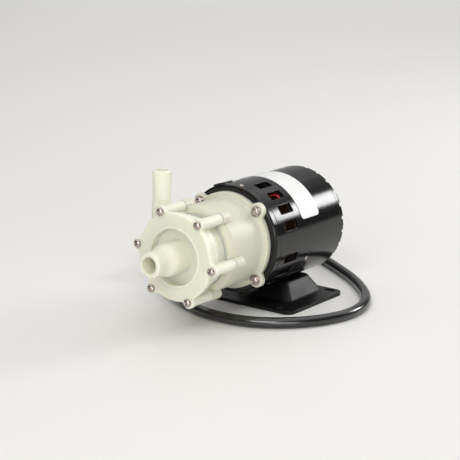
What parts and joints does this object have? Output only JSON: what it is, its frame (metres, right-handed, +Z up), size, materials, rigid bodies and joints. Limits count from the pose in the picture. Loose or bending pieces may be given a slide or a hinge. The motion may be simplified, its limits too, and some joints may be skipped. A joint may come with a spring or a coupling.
{
  "type": "magnetic drive drain pump",
  "caption": "Small magnetic drive centrifugal pump with a plastic pump head, a fan-cooled black motor on a pressed foot, and a mains cord.",
  "frame": {"origin": "on the floor, at the centre of the four slotted holes in the foot", "axes": "+Z up, +Y along the shaft from the inlet towards the rear of the motor, +X to the right seen from the inlet"},
  "size_m": [0.228, 0.2926, 0.117],
  "materials": {
    "natural_plastic": "satin",
    "stainless": "satin",
    "seal_rubber": "matte",
    "impeller_plastic": "satin",
    "ferrite": "matte",
    "carbon": "satin",
    "white_ceramic": "satin",
    "black_enamel": "gloss",
    "zinc_steel": "satin",
    "dark_steel": "satin",
    "bronze": "satin",
    "label_white": "satin",
    "lamination": "satin",
    "copper_enamel": "gloss",
    "red_wire": "satin",
    "lead_black": "satin",
    "cast_aluminium": "satin",
    "fan_plastic": "satin",
    "cord_black": "satin",
    "tie_plastic": "satin",
    "blade_brass": "satin"
  },
  "bodies": {
    "pump_and_motor": {"front_cover": "natural_plastic", "volute_housing": "natural_plastic", "rear_casing": "natural_plastic", "cover_screws": "stainless", "cover_seal": "seal_rubber", "casing_seal": "seal_rubber", "spindle": "white_ceramic", "spindle_clip": "stainless", "thrust_washers": "white_ceramic", "bell": "natural_plastic", "bell_washers": "stainless", "bell_screws": "stainless", "front_end_cap": "black_enamel", "front_bearing": "bronze", "front_retainer": "zinc_steel", "motor_shell": "black_enamel", "rating_label": "label_white", "stator_core": "lamination", "stator_windings": "copper_enamel", "red_jumper": "red_wire", "lead_wires": "lead_black", "thermal_protector": "dark_steel", "rear_end_cap": "black_enamel", "rear_bearing": "bronze", "rear_retainer": "zinc_steel", "through_bolts": "dark_steel", "shell_screws": "stainless", "foot_bracket": "black_enamel", "strain_relief": "cord_black", "cord_lead": "cord_black", "cord_coil": "cord_black", "cord_tie": "tie_plastic", "cord_run": "cord_black", "plug_body": "cord_black", "plug_blades": "blade_brass"},
    "wet_impeller": {"impeller": "impeller_plastic", "impeller_magnet": "ferrite", "magnet_cap": "impeller_plastic", "impeller_bushing": "carbon"},
    "drive_rotor": {"drive_magnet": "ferrite", "magnet_cup": "zinc_steel", "hub_set_screw": "dark_steel", "motor_shaft": "zinc_steel", "rotor_core": "lamination", "rotor_end_rings": "cast_aluminium", "cooling_fan": "fan_plastic", "shaft_collars": "zinc_steel"}
  },
  "joints": [
    {"name": "rotor_spin", "type": "hinge", "parent": "pump_and_motor", "child": "drive_rotor", "pos_m": [0, 0, 0.057], "axis": [0, 1, 0], "continuous": true},
    {"name": "impeller_spin", "type": "hinge", "parent": "pump_and_motor", "child": "wet_impeller", "pos_m": [0, -0.1, 0.057], "axis": [0, 1, 0], "continuous": true}
  ],
  "couplings": [
    {"joint": "impeller_spin", "follows": "rotor_spin", "ratio": 1}
  ]
}
